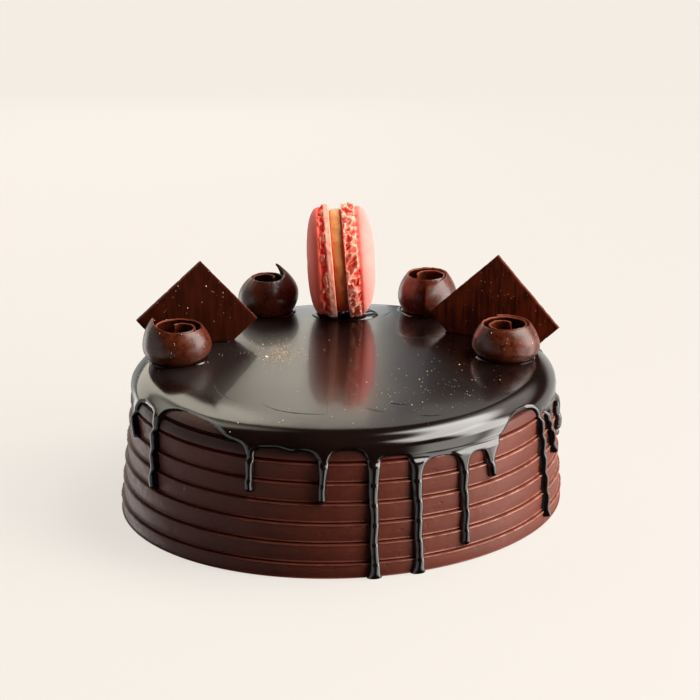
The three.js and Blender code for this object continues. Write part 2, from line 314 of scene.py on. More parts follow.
cake = {
    "baseRadius": 89.2,  # over the proud edges of the lowest band
    "waistRadius": 84.9,  # the same where the shoulder starts
    "shoulderStart": 47.0,
    "flatRadius": 75.5,
    "top": 57.3,
    "ovalStretch": 3.2,
    "ovalAzimuth": 45.0,
    "ovalFade": 0.5,
    "lean": 0.8,
}

band = {
    "lowest": 6.4,  # height of the first band
    "pitch": 7.95,
    "count": 6,
    # share of the band's height, and how far the surface lies inside the proud edge
    "profile": [
        (0.0, 2.3), (0.02, 1.6), (0.038, 0.86), (0.06, 0.66), (0.085, 0.84), (0.11, 1.14),
        (0.25, 0.88), (0.45, 0.58), (0.65, 0.4), (0.8, 0.34), (0.86, 0.34), (0.9, -0.06),
        (0.932, 0.04), (0.952, 0.7), (0.972, 1.7),
    ],
}


def proudRadius(height):
    return mix(cake["baseRadius"], cake["waistRadius"], height / cake["shoulderStart"])


def ovalFactor(azimuth, height):
    share = height / cake["top"]
    stretch = cake["ovalStretch"] * (1 - cake["ovalFade"] * share)
    oval = stretch * np.cos(2 * (azimuth - math.radians(cake["ovalAzimuth"])))
    return 1 + (oval + cake["lean"] * share * np.cos(azimuth)) / cake["baseRadius"]


def shoulderPoint(turn, side, top):
    # a quarter of an ellipse from the side, at no turn, up to the level top
    reach = cake["waistRadius"] + side
    radius = mix(cake["flatRadius"], reach, math.cos(turn))
    rise = cake["top"] + top - cake["shoulderStart"]
    return radius, cake["shoulderStart"] + rise * math.sin(turn)


def bandRows():
    rows = []
    for number in range(band["count"]):
        bottom = 0 if number == 0 else band["lowest"] + (number - 1) * band["pitch"]
        tall = band["lowest"] if number == 0 else band["pitch"]
        rows += [(bottom + share * tall, inset) for share, inset in band["profile"]]
    last = band["lowest"] + (band["count"] - 1) * band["pitch"]
    return rows + [(last, band["profile"][0][1])]


def bandInset(height):
    heights, insets = zip(*bandRows())
    return np.interp(height, heights, insets)


def softInset(height):
    # the bands as they show through the glaze, with every step rounded off
    heights = np.arange(-10, 60, 0.25)
    kernel = np.exp(-(np.arange(-20, 21) * 0.25 / glazeLook["veil"]) ** 2)
    insets = np.convolve(bandInset(heights), kernel / kernel.sum(), mode="same")
    return np.interp(height, heights, insets)


def glazeDrop(radius, azimuth):
    # how far the glaze's top lies below a level one
    share = np.minimum(radius / cake["flatRadius"], 1)
    start = glazeLook["roundedFrom"]
    rounded = np.clip((radius - start) / (cake["flatRadius"] - start), 0, 1)
    inner = glazeLook["dome"] * (share ** 2 - 1) + glazeLook["edgeFall"] * rounded ** 2
    beyond = np.maximum(radius - cake["flatRadius"], 0)
    middle, width, depth = glazeLook["run"]
    away = degreesAway(np.degrees(azimuth), middle)
    run = depth * smoothStep(36, 92, radius) * np.exp(-(away / width) ** 2)
    return inner + run + 0.2 * (1 - np.exp(-beyond / 3))


def glazeHeight(x, y):
    # height of the glaze's upper side over a place on top or on the shoulder
    azimuth = np.arctan2(y, x)
    radius = np.hypot(x, y) / ovalFactor(azimuth, cake["top"])
    reach = cake["waistRadius"] + glazeLook["skin"] - cake["flatRadius"]
    out = np.clip((radius - cake["flatRadius"]) / reach, 0, 0.99)
    level = np.sqrt(1 - out ** 2)
    rise = cake["top"] - cake["shoulderStart"]
    return cake["shoulderStart"] + rise * level - glazeDrop(radius, azimuth) * level ** 2


def toRound(points):
    # azimuth, radius and height in mm of points in metres
    azimuth = np.arctan2(points[:, 1], points[:, 0])
    return azimuth, np.hypot(points[:, 0], points[:, 1]) / mm, points[:, 2] / mm


def ringPoints(azimuth, radius, height):
    return np.column_stack((radius * np.cos(azimuth), radius * np.sin(azimuth), height + 0 * azimuth))


def fromRound(azimuth, radius, height):
    return ringPoints(azimuth, radius, height) * mm


# the cake's body

bodyLook = {
    "columns": 620,
    "sideIn": 0.2,  # the body's shoulder lies this far inside the proud edge
    "topIn": 2.1,
    "burr": 0.17,  # how ragged the proud edges are, mm
    "sway": 0.2,  # how far the bands rise and fall, mm
    "lumps": 0.12,
    "flat": ((0.099, 0.0205, 0.0115, 1), (0.146, 0.0325, 0.019, 1)),
    # painted highlight on the bead lines at the bands' edges
    "bead": (0.52, 0.24, 0.165, 1),
    # painted shade in the grooves, kept deep red for the light bounced inside them
    "groove": (0.13, 0.013, 0.005, 1),
    "shoulder": (0.03, 0.0085, 0.0055, 1),  # painted shade under the glaze's arches
    # the painted highlight lines along each band: place in the band, width, strength
    "lines": ((0.905, 0.028, 1), (0.062, 0.02, 0.7)),
    # the step in the shoulder: its turns in degrees, how far in and how far down
    "step": ((34, 38), 1.3, 0.4),
    # the front left was combed more smoothly, and it gets less painted highlight on its bead lines and
    # more painted shade under the glaze's arches: azimuths where that starts and ends
    "smoothAndShadedFrom": (-185, -150),
    "smoothAndShadedTo": (-66, -84),
}


def makeGanache():
    material, tree, principled = startMaterial("ganache", IOR=1.42, Specular_IOR_Level=0.4)
    points = objectPoints(tree)
    broad = grain(tree, points, 30, 2)
    fine = grain(tree, points, 420, 4, 0.6)
    combed = grain(tree, objectPoints(tree, (1, 1, 9)), 150, 3, 0.5)
    tone = layUp(tree, (broad, 0.45), (fine, 0.3), (combed, 0.25))
    first, second = bodyLook["flat"]
    colour = blendColours(tree, spread(tree, tone, 0.38, 0.62), first, second)
    # painted highlight along the bead lines, broken up by noise; the beads are also glossier
    bead = valueOf(tree, "bead")
    broken = spread(tree, grain(tree, points, 230, 3, 0.6), 0.36, 0.6, 0.25, 1.0)
    colour = blendColours(tree, maths(tree, "MULTIPLY", bead, broken), colour, bodyLook["bead"])
    # painted shade in the grooves
    colour = blendColours(tree, valueOf(tree, "groove"), colour, bodyLook["groove"])
    # painted shade on the shoulder under the glaze's arches
    paint(tree, principled, valueOf(tree, "shoulder"), colour, bodyLook["shoulder"])
    gloss = maths(tree, "MULTIPLY_ADD", bead, -0.2, spread(tree, fine, 0.3, 0.7, 0.38, 0.54))
    tree.links.new(gloss, principled.inputs["Roughness"])
    pits = spread(tree, grain(tree, points, 310, 2), 0.27, 0.36)
    addBump(tree, principled, [(combed, 0.1, 0.5), (pits, 0.22, 0.4), (fine, 0.06, 0.45)])
    return material


def makeBody():
    rows = [(0, 0)] + [(proudRadius(height) - inset, height) for height, inset in bandRows()]
    stepTurns, stepIn, stepDown = bodyLook["step"]
    for turn in sorted([*range(0, 91, 9), *stepTurns, 40]):
        radius, height = shoulderPoint(math.radians(turn), -bodyLook["sideIn"], -bodyLook["topIn"])
        if turn in stepTurns:
            radius -= stepIn
            height -= stepDown
        rows.append((radius, height))
    rows.append((0, cake["top"] - bodyLook["topIn"]))
    piece = spinProfile("cake_body_combed", rows, bodyLook["columns"])
    azimuth, radius, height = toRound(readPoints(piece))
    around = ringPoints(azimuth, 1, height / 60) * 88
    onSide = smoothStep(0.5, 3, height) * smoothStep(48, 45, height) * (radius > 60)
    inset = proudRadius(height) - radius
    share = ((height - band["lowest"]) % band["pitch"]) / band["pitch"]
    share = np.where(height < band["lowest"], height / band["lowest"], share)
    highlightBeadShare = sum(strength * np.exp(-((share - middle) / width) ** 2)
                 for middle, width, strength in bodyLook["lines"])
    turned = np.degrees(azimuth)
    smoothAndShaded = smoothStep(*bodyLook["smoothAndShadedFrom"], turned) * smoothStep(*bodyLook["smoothAndShadedTo"], turned)
    highlightBeadShare = highlightBeadShare * (1 - 0.75 * smoothAndShaded)
    # where the grooves get painted shade
    shadedGrooveMask = smoothStep(1.15, 1.6, inset) * (radius > 60) * (height > 1) * (height < 48)
    # where the shoulder gets painted shade, more at the front left
    shoulderShade = (0.35 + 0.5 * smoothAndShaded) * smoothStep(46, 49, height)
    height = height + bodyLook["sway"] * onSide * wobble(around, 45, 1)
    edge = smoothStep(0.9, 0.1, inset) * onSide
    ragged = wobble(around * (1, 1, 3), 2.2, 2) + 0.6 * wobble(around * (1, 1, 3), 0.9, 3)
    ragged = ragged * (1 - 0.6 * smoothAndShaded)
    radius = radius + bodyLook["burr"] * edge * ragged
    radius = radius + bodyLook["lumps"] * onSide * wobble(around, 9, 4)
    writePoints(piece, fromRound(azimuth, radius * ovalFactor(azimuth, height), height))
    storeValues(piece, bead=np.clip(highlightBeadShare * onSide, 0, 1), groove=shadedGrooveMask, shoulder=shoulderShade)
    smoothByAngle(piece, 40)
    finishPiece(piece, [makeGanache()], ["cake_body"])


# the glaze

glazeLook = {
    "columns": 900,
    "skin": 1.5,  # it stands this far off the proud edges
    "dripProud": 2.5,
    "lip": 1.7,  # width over which its edge rounds off
    "follow": 0.95,  # share of the bands' relief that shows through
    "veil": 1.15,  # how far its own thickness smooths that relief, mm
    "ledge": 0.8,  # how far it stands back over the uppermost band
    "fillet": 3.0,  # where a drip leaves the skirt
    "archPower": 3.0,
    "wander": 0.22,
    "wanderLength": 19,
    "flare": 0.5,
    "bulb": 0.2,
    "ripple": 0.05,  # height of the waves on top
    "dome": 1.5,  # how much higher it is in the middle than at the top's edge
    "roundedFrom": 58.0,  # from this radius it falls off more, by edgeFall in all
    "edgeFall": 0.32,
    # at the front left it has run off more: azimuth, spread and how far, mm
    "run": (-137, 30, 1.8),
}

# each drip: azimuth where it leaves the skirt and at its end, width, height of its end, height of
# the skirt's edge there, height of the edge's arch on its way to the next drip, and the arch's skew
drips = [
    (-161.6, -158.8, 3.0, 37.5, 47, 53.2, 1.0),
    (-147.4, -145.4, 3.3, 22.7, 49, 56.7, 0.6),
    (-114.2, -113.6, 3.1, 33, 50, 51.6, 1.0),
    (-94.7, -94.8, 3.2, 30.4, 46.3, 51.9, 1.0),
    (-81.7, -81.6, 3.7, 0.5, 44.6, 47.7, 0.9),
    (-69.9, -69.8, 3.8, 0.5, 42.2, 45.3, 1.0),
    (-55.9, -55.8, 3.3, 7.5, 40, 44.0, 1.0),
    (-46.6, -46.1, 3.3, 31.8, 38.6, 53.2, 1.4),
    (-22.8, -20.8, 2.2, 3.6, 46, 46, 1.0),
    (-16.2, -11.8, 3.0, 25.8, 42, 45, 1.0),
    (-3.4, -4.8, 3.2, 31.8, 42, 50, 1.0),
    (12, 12, 3.6, 20, 45, 50, 1.2),
    (31, 31.4, 3.3, 36, 46, 49.5, 0.8),
    (46, 45.6, 4, 12, 45, 51, 1.0),
    (63, 63, 3.3, 30, 45.5, 49.5, 1.3),
    (82, 82.5, 4.2, 8, 44.5, 52, 0.8),
    (101, 101, 3.6, 25, 46, 50.5, 1.0),
    (118, 117.5, 3.3, 34, 45.5, 51.5, 0.9),
    (137, 137.5, 4, 15, 45, 50.5, 1.0),
    (151, 151, 3.5, 28, 45, 49.5, 1.2),
    (166, 166, 3.6, 18, 46, 50.5, 1.0),
]

# low places in the skirt's edge: azimuth, width in degrees, depth
sags = [(-102.8, 2.2, 1.5), (-121.5, 3.2, 0.8)]


def makeGlazeMaterial():
    material, tree, principled = startMaterial(
        "chocolate_glaze", IOR=1.6, Coat_Weight=0.3, Coat_Roughness=0.08, Coat_IOR=1.5)
    points = objectPoints(tree)
    share = spread(tree, grain(tree, points, 40, 3), 0.35, 0.7)
    paint(tree, principled, share, (0.0055, 0.0026, 0.002, 1), (0.011, 0.0045, 0.0032, 1))
    # dull on top, more so at the left, and glossy from the shoulder down
    onTop = spread(tree, axisOf(tree, points, 0), -0.07, 0.03, 0.46, 0.17)
    gloss = spread(tree, axisOf(tree, points, 2), 0.0564, 0.0573, 0.11, onTop, smooth=True)
    tree.links.new(gloss, principled.inputs["Roughness"])
    swirl = grain(tree, points, 24, 2, 0.4, 0.6)
    addBump(tree, principled, [(swirl, 0.35, 0.25)])
    return material


def makeWetGlaze():
    # where it gathers round the toppings it is wetter than on the level top
    material, tree, principled = startMaterial("wet_glaze", Roughness=0.07, IOR=1.6)
    points = objectPoints(tree)
    cloud = grain(tree, points, 60, 2)
    paint(tree, principled, cloud, (0.003, 0.0016, 0.0013, 1), (0.007, 0.003, 0.0024, 1))
    addBump(tree, principled, [(grain(tree, points, 330, 2), 0.25, 0.5)])
    return material


def pathLength(height):
    # how far down the glaze a height lies, mm from where the side starts
    rise = cake["top"] - cake["shoulderStart"]
    turn = np.arcsin(np.clip((height - cake["shoulderStart"]) / rise, 0, 1))
    return np.where(height > cake["shoulderStart"], -10.7 * turn, cake["shoulderStart"] - height)


def edgeHeight(azimuth):
    # the height of the skirt's lower edge at azimuths in degrees, from -180 to 180
    edge = np.zeros_like(azimuth)
    for place, (start, _, _, _, root, arch, skew) in enumerate(drips):
        stop, nextRoot = drips[(place + 1) % len(drips)][0], drips[(place + 1) % len(drips)][4]
        span = (stop - start) % 360
        along = ((azimuth - start) % 360) / span
        bow = 1 - np.abs(2 * np.clip(along, 0, 1) ** skew - 1) ** glazeLook["archPower"]
        edge = np.where(along < 1, mix(mix(root, nextRoot, along), arch, bow), edge)
    for middle, width, depth in sags:
        edge = edge - depth * np.exp(-((azimuth - middle) / width) ** 2)
    return edge


def smoothMax(first, second, width):
    share = np.maximum(width - np.abs(first - second), 0) / width
    return np.maximum(first, second) + share * share * width / 4


def packColumns(count):
    # evenly spread azimuths pushed together round the drips
    steps = np.linspace(-180, 180, 7201)
    weight = np.ones_like(steps)
    for azimuth, *_ in drips:
        weight += 1.3 * np.exp(-(degreesAway(steps, azimuth) / 3.2) ** 2)
    total = np.concatenate(([0], np.cumsum((weight[1:] + weight[:-1]) / 2)))
    return np.interp(np.linspace(0, 1, count + 1), total / total[-1], steps)


def dripField(azimuth, height, path):
    # how deep inside the nearest drip each point lies, that drip's half width and weight
    depth = np.full_like(path, -9.0)
    halfWidths = np.full_like(path, 2.0)
    below = np.full_like(path, -9.0)
    for start, stop, width, end, root, _, _ in drips:
        along = np.clip((root - height) / (root - end), 0, 1)
        away = degreesAway(azimuth, mix(start, stop, along)) * math.radians(1)
        swing = np.sin(2 * math.pi * height / glazeLook["wanderLength"] + start)
        across = away * 87.5 - glazeLook["wander"] * swing
        flare = glazeLook["flare"] * (1 - along) ** 3 + glazeLook["bulb"] * along ** 4
        half = width / 2 * (1 + flare)
        if end < 1:
            half = half * (1 + 0.45 * np.exp(-height / 1.3))
            beyond = np.zeros_like(path)
        else:
            beyond = np.maximum(path - (pathLength(np.array(end)) - width / 2), 0)
        over = np.maximum(pathLength(np.array(root)) - 4 - path, 0)
        inside = half - np.sqrt(across ** 2 + beyond ** 2 + over ** 2)
        nearer = inside > depth
        depth = np.where(nearer, inside, depth)
        halfWidths = np.where(nearer, half, halfWidths)
        below = np.where(nearer, path - pathLength(np.array(root)), below)
    return depth, halfWidths, below


def makeGlaze():
    rows = [(0, cake["top"])] + [(radius, cake["top"]) for radius in
                                 (5, 10, 16, 22, 28, 34, 40, 46, 52, 58, 63, 67, 70, 72.5, 74.3)]
    rows += [shoulderPoint(math.radians(90 - 5 * step), glazeLook["skin"], 0) for step in range(19)]
    side = np.arange(cake["shoulderStart"] - 0.55, 0.2, -0.55)
    rows += [(proudRadius(height) + glazeLook["skin"], height) for height in side]
    rows.append((proudRadius(0.05) + glazeLook["skin"], 0.05))
    piece = spinProfile("glaze_poured", rows, glazeLook["columns"])
    azimuth, radius, height = toRound(readPoints(piece))
    columns = packColumns(glazeLook["columns"])
    place = (np.degrees(azimuth) + 180) / 360 * glazeLook["columns"]
    azimuth = np.interp(place, np.arange(glazeLook["columns"] + 1), columns)

    path = pathLength(height)
    edge = edgeHeight(azimuth)
    step = 0.3
    slope = pathLength(edgeHeight(azimuth + step)) - pathLength(edgeHeight(azimuth - step))
    slope = slope / (2 * step * math.radians(1) * 86)
    inSkirt = (pathLength(edge) - path) / np.sqrt(1 + slope ** 2)
    inDrip, halfWidth, below = dripField(azimuth, height, path)
    inside = smoothMax(inSkirt, inDrip, glazeLook["fillet"])
    share = smoothStep(-6, 2, below) * smoothStep(-2.5, 0.5, inDrip)
    proud = mix(glazeLook["skin"], glazeLook["dripProud"], share)
    lip = mix(glazeLook["lip"], halfWidth, share)
    rounding = np.sqrt(1 - (1 - np.clip(inside / lip, 0, 1)) ** 2)
    off = np.where(inside > 0, proud * rounding, 4 * inside)
    off = np.maximum(off, -4.5)

    turn = np.arcsin(np.clip((height - 47) / (cake["top"] - 47), 0, 1))
    turn = np.where(radius < cake["flatRadius"] - 0.01, math.pi / 2, turn)
    relief = glazeLook["follow"] * (softInset(height) - 0.35) * smoothStep(49, 44, height)
    ledge = glazeLook["ledge"] * smoothStep(44.5, 47.8, height) * smoothStep(53, 48.5, height)
    push = off - glazeLook["skin"] - relief - ledge
    turned = np.radians(azimuth)
    spot = ringPoints(turned, radius, height)
    push = push + glazeLook["ripple"] * (wobble(spot, 26, 5) + 0.4 * wobble(spot, 11, 6))
    radius = radius + push * np.cos(turn)
    height = height + push * np.sin(turn) - glazeDrop(radius, turned) * np.sin(turn) ** 2
    writePoints(piece, fromRound(turned, radius * ovalFactor(turned, height), height))

    hidden = off < -2.9
    selectFaces(piece, lambda face: all(hidden[corner] for corner in face.vertices))
    bpy.ops.mesh.delete(type="FACE")
    endEdit()
    smoothByAngle(piece, 180)
    return piece


# faint ridges that the palette knife left: start, middle and end in mm, width and height
marks = [
    ((-50, -25), (-47.4, -37), (-39, -46.4), 1.3, 0.13),
    ((-31.8, -46), (-22, -57.6), (-4, -61.5), 1.2, 0.14),
    ((17.6, -47.6), (20.8, -50.2), (25.7, -51), 1.5, 0.16),
    ((29, -61), (34.5, -61.8), (40, -59.7), 1.3, 0.14),
    ((22.6, 36), (29, 28.6), (41.7, 32), 1.3, 0.14),
    ((8.2, -53.4), (13, -57.4), (18.6, -59.4), 1.4, 0.09),
    ((16.6, 58.5), (19.2, 62.4), (19.8, 68), 1.1, 0.14),
]


def surfaceOf(pieces):
    corners, faces = [], []
    for piece in pieces:
        start = len(corners)
        corners += [vertex.co.copy() for vertex in piece.data.vertices]
        faces += [[start + corner for corner in face.vertices] for face in piece.data.polygons]
    return BVHTree.FromPolygons(corners, faces)


def makeMark(under, start, middle, end, width, rise):
    piece, along, across = makeStrip("glaze_mark", 60, 10)
    along = along[:, None]
    start, middle, end = np.array(start), np.array(middle), np.array(end)
    pull = 2 * middle - (start + end) / 2
    spot = (1 - along) ** 2 * start + 2 * along * (1 - along) * pull + along ** 2 * end
    way = 2 * (1 - along) * (pull - start) + 2 * along * (end - pull)
    way = way / np.linalg.norm(way, axis=1)[:, None]
    taper = np.sin(math.pi * along[:, 0]) ** 0.6
    uneven = 1 + 0.5 * wobble(np.column_stack((spot, 0 * across)), 2.5, 8)
    aside = across * width / 2 * taper * uneven
    spot = spot + np.column_stack((-way[:, 1], way[:, 0])) * aside[:, None]
    # steep on one flank, as the knife leaves it
    ridge = np.where(across > 0.3, (1 - across) / 0.7, (1 + across) / 1.3)
    ridge = ridge * ridge * (3 - 2 * ridge) * rise * taper * uneven - 0.02
    down = Vector((0, 0, -1))
    points = np.array([under.ray_cast(Vector((x, y, 90)) * mm, down)[0] for x, y in spot])
    points[:, 2] += ridge * mm
    writePoints(piece, points)
    smoothByAngle(piece, 180)
    return piece


# low rims of glaze where the toppings stand

collar = {"rise": 1.1, "halfLength": 13.9, "halfDepth": 9.6, "aside": 1.7}
# a rim's rings from the outermost in: how far outside the outline, and how high
meniscus = [
    (2.35, -0.1), (2.05, 0.06), (1.85, 0.26), (1.6, 0.43), (1.3, 0.5), (0.85, 0.44), (0.4, 0.34),
    (0.0, 0.38), (-0.4, 0.5),
]


def turnedPlace(spot, along, across):
    # x and y of places along and across a piece that stands turned
    turn = math.radians(spot["yaw"])
    return (spot["x"] + along * math.cos(turn) - across * math.sin(turn),
            spot["y"] + along * math.sin(turn) + across * math.cos(turn))


def roundPlace(spot, radius, azimuth):
    return spot["x"] + radius * np.cos(azimuth), spot["y"] + radius * np.sin(azimuth)


def ringOutline(name, outlineAt, rings, count, seed):
    # outlineAt gives x and y in mm for azimuths and how far outside the outline they are
    lift = 0.01
    deselectAll()
    bpy.ops.mesh.primitive_circle_add(vertices=count, radius=0.02, location=(0, 0, 0))
    piece = takeName(name)
    startEdit()
    for _ in rings[1:]:
        bpy.ops.mesh.extrude_region_move(TRANSFORM_OT_translate={"value": (0, 0, lift)})
    endEdit()
    points = readPoints(piece)
    azimuth = np.arctan2(points[:, 1], points[:, 0])
    level = np.rint(points[:, 2] / lift).astype(int)
    around = ringPoints(azimuth, 6, 0)
    uneven = 1 + 0.7 * wobble(around, 3.1, seed)
    out, rise = np.array(rings, dtype=float).T[:, level] * uneven
    x, y = outlineAt(azimuth, out)
    z = glazeHeight(x, y) - 0.05 + rise
    writePoints(piece, np.column_stack((x, y, z)) * mm)
    faceOutwards()
    if piece.data.polygons[0].normal.z < 0:
        piece.data.flip_normals()
    smoothByAngle(piece, 180)
    return piece


def makeCollar():
    def outlineAt(azimuth, out):
        return turnedPlace(macaron, collar["aside"] + (collar["halfLength"] + out) * np.cos(azimuth),
                           (collar["halfDepth"] + out) * np.sin(azimuth))

    rings = []
    for step in range(9):
        turn = math.radians(90 * step / 8)
        rings.append((-3.4 * (1 - math.cos(turn)), collar["rise"] * math.sin(turn) ** 1.3))
    rings.append((-7, collar["rise"]))
    return ringOutline("glaze_collar", outlineAt, rings, 160, 7)


def curlRim(node, seed):
    curl = curls[node]
    foot = curl["radius"] * (1 - curl["waist"] * curl["footShare"] ** 2)

    def outlineAt(azimuth, out):
        return roundPlace(curl, foot + out, azimuth)

    return ringOutline("glaze_rim_" + node, outlineAt, meniscus, 96, seed)


def plaqueRim(node, seed):
    plaque = plaques[node]
    half = plaque["depth"] / math.tan(math.radians(45))

    def outlineAt(azimuth, out):
        along = (half + out) * np.cos(azimuth)
        across = (slab["thickness"] / 2 + out) * np.clip(1.6 * np.sin(azimuth), -1, 1)
        return turnedPlace(plaque, along, across)

    return ringOutline("glaze_rim_" + node, outlineAt, meniscus, 140, seed)


# the macaron

macaron = {
    "x": -0.4,
    "y": 60.5,
    "lean": -2.2,
    "yaw": 1.5,
    "footRadius": 23.3,
    "domeRadius": 22.3,
    "fillingRadius": 21.4,
    "ruffle": 0.55,
    "edge": 0.9,  # how rounded the shells' flat sides and the filling are
    "raised": 0.55,  # the glaze is this much higher here than at the top's edge
    "sunk": 0.3,
    "slant": 0.042,  # how much more the filling leans than the shells do
    "columns": 420,
    # for each shell: from the middle to its flat side, width of its foot, height of its dome
    "left": (3.6, 5.2, 5.2),
    "right": (1.5, 5.9, 6.5),
    "filling": (-3.55, 1.45),
}


def macaronPlace():
    height = cake["top"] + macaron["raised"] - macaron["sunk"]
    height += macaron["footRadius"] + macaron["ruffle"]
    place = Matrix.Translation(Vector((macaron["x"], macaron["y"], height)) * mm)
    turn = Matrix.Rotation(math.radians(macaron["yaw"]), 4, "Z")
    lean = Matrix.Rotation(math.radians(macaron["lean"]), 4, "Y")
    return place @ turn @ lean


def slantInner(piece, towards):
    # turned upright, its inner side is slanted as the filling is, then it is put in place
    moveMesh(piece, Matrix.Rotation(towards, 4, "Y"))
    points = readPoints(piece)
    inner = smoothStep(11 * mm, 5 * mm, np.abs(points[:, 0]))
    points[:, 0] -= macaron["slant"] * inner * (points[:, 2] - 6 * mm)
    writePoints(piece, points)
    moveMesh(piece, macaronPlace())


def makeShellMaterial():
    material, tree, principled = startMaterial(
        "macaron_shell", Roughness=0.6, Specular_IOR_Level=0.25, Subsurface_Weight=0.5,
        Subsurface_Scale=0.004, Subsurface_Radius=(1.0, 0.34, 0.24), Sheen_Weight=0.12,
        Sheen_Roughness=0.45, Sheen_Tint=(1, 0.86, 0.82, 1))
    points = objectPoints(tree)
    cloud = grain(tree, points, 90, 3)
    fine = grain(tree, points, 900, 3)
    crest = valueOf(tree, "crest")
    skin = blendColours(tree, cloud, (0.89, 0.088, 0.052, 1), (0.94, 0.17, 0.12, 1))
    pale = blendColours(tree, cloud, (0.94, 0.22, 0.19, 1), (0.97, 0.33, 0.29, 1))
    # the right shell is painted paler than the left one, as painted light where the lamps fall
    # strongest
    skin = blendColours(tree, spread(tree, axisOf(tree, points, 0), 0.002, 0.011), skin, pale)
    # the foot gets painted shade, deep red, in its gaps and a pale painted highlight on its crests
    foot = blendColours(tree, spread(tree, crest, 0.0, 0.45), (0.92, 0.03, 0.014, 1),
                        (0.98, 0.22, 0.14, 1))
    foot = blendColours(tree, spread(tree, crest, 0.5, 1.0), foot, (1.0, 0.47, 0.35, 1))
    paint(tree, principled, valueOf(tree, "foot"), skin, foot)
    addBump(tree, principled, [(cloud, 0.15, 0.3), (fine, 0.05, 0.35)])
    return material


def footShape(side, seed, share, around):
    # how far each place of the foot stands out, from 0 in a gap to 1 on a crest
    skewed = around + np.column_stack((around[:, 2], 0 * share, -0.5 * around[:, 1])) * 0.5
    blobs = smoothStep(-0.25, 0.3, wobble(skewed * (1, 1, 1.25), 2.7, seed))
    crumbs = smoothStep(-0.4, 0.4, wobble(around, 1.15, seed + 1))
    rough = 0.72 * blobs + 0.28 * crumbs
    if side > 0:
        crests = 1 - np.abs(wobble(skewed * (1, 1, 0.55), 2.1, seed + 5))
        rough = 0.15 + 0.5 * rough + 0.5 * smoothStep(0.72, 0.98, crests)
        gap = np.exp(-((share - 0.93) / 0.06) ** 2)
        return np.clip(rough * (1 - 0.6 * gap), 0, 1)
    gap = np.exp(-((share - 0.8) / 0.17) ** 2)
    smooth = smoothStep(0.56, 0.42, share + 0.07 * wobble(around, 2.4, seed + 6))
    calm = 0.86 + 0.12 * wobble(around, 1.6, seed + 7)
    return np.clip(mix(rough * (1 - 0.55 * gap), calm, smooth), 0, 1)


def makeShell(name, node, side, seed, material):
    inner, foot, dome = macaron["right" if side > 0 else "left"]
    rows = [(radius, inner) for radius in (0, 10, 18, 21.5)]
    for step in range(10):
        turn = math.radians(10 * step)
        out = macaron["footRadius"] - macaron["edge"] + macaron["edge"] * math.sin(turn)
        rows.append((out, inner + 0.35 * (1 - math.cos(turn))))
    rows += [(macaron["footRadius"], inner + foot * (0.08 + 0.84 * step / 26)) for step in range(27)]
    rows.append((macaron["domeRadius"] - 0.3, inner + foot))
    for step in range(1, 30):
        turn = math.radians(90 * (step / 30) ** 0.85)
        out = macaron["domeRadius"] * math.cos(turn) ** 0.72
        rows.append((out, inner + foot + dome * math.sin(turn)))
    rows.append((0, inner + foot + dome))
    piece = spinProfile(name, rows, macaron["columns"])
    azimuth, radius, along = toRound(readPoints(piece))
    around = ringPoints(azimuth, 23, along)
    share = (along - inner) / foot
    isFoot = smoothStep(-0.02, 0.06, share) * smoothStep(1.0, 0.93, share) * (radius > 20)
    folds = footShape(side, seed, share, around)
    bulge = wobble(around, 7, seed + 2)
    crumb = wobble(around, 0.8, seed + 3)
    radius = radius + isFoot * (2.3 * (folds - 0.8) + 0.3 * bulge + 0.12 * crumb)
    radius = np.where(isFoot > 0, np.minimum(radius, macaron["footRadius"] + macaron["ruffle"]), radius)
    isDome = smoothStep(0.95, 1.1, share)
    lip = isDome * smoothStep(1.5, 1.05, share) * (radius > 18)
    radius = radius + lip * (0.25 * wobble(around, 3.5, seed + 8))
    along = along + isDome * 0.2 * wobble(around, 12, seed + 4)
    writePoints(piece, fromRound(azimuth, radius, along))
    storeValues(piece, foot=isFoot, crest=folds)
    slantInner(piece, side * math.pi / 2)
    smoothByAngle(piece, 60)
    finishPiece(piece, [material], [node])


def makeFillingMaterial():
    material, tree, principled = startMaterial(
        "macaron_filling", Roughness=0.5, Specular_IOR_Level=0.15, Subsurface_Weight=0.4,
        Subsurface_Scale=0.003)
    points = objectPoints(tree)
    # painted shade darkens it at its foot, and painted light makes it paler towards its top
    rise = spread(tree, axisOf(tree, points, 2), 0.064, 0.103)
    colour = blendColours(tree, rise, (0.4, 0.035, 0.001, 1), (0.78, 0.44, 0.16, 1))
    cloud = grain(tree, points, 260, 3)
    spots = spread(tree, cloud, 0.45, 0.75, 0, 0.4)
    paint(tree, principled, spots, colour, (0.46, 0.1, 0.012, 1))
    addBump(tree, principled, [(cloud, 0.3, 0.5), (grain(tree, points, 1100, 2), 0.06, 0.4)])
    return material


def makeFilling():
    start, stop = macaron["filling"]
    middle, half = (start + stop) / 2, (stop - start) / 2
    rows = [(0, start), (10, start), (18, start)]
    for step in range(13):
        turn = math.radians(-90 + 15 * step)
        radius = macaron["fillingRadius"] - macaron["edge"] + macaron["edge"] * math.cos(turn)
        rows.append((radius, middle + half * math.sin(turn)))
    rows += [(18, stop), (10, stop), (0, stop)]
    piece = spinProfile("macaron_filling_piped", rows, 240)
    azimuth, radius, along = toRound(readPoints(piece))
    around = ringPoints(azimuth, 21, along)
    outer = smoothStep(19, 20.5, radius)
    radius = radius + outer * (0.3 * wobble(around, 5, 21) + 0.1 * wobble(around, 1.4, 22))
    writePoints(piece, fromRound(azimuth, radius, along))
    slantInner(piece, math.pi / 2)
    smoothByAngle(piece, 60)
    finishPiece(piece, [makeFillingMaterial()], ["macaron_filling"])


def makeMacaron():
    material = makeShellMaterial()
    makeShell("macaron_left_baked", "macaron_shell_left", -1, 11, material)
    makeShell("macaron_right_baked", "macaron_shell_right", 1, 31, material)
    makeFilling()


# the chocolate plaques

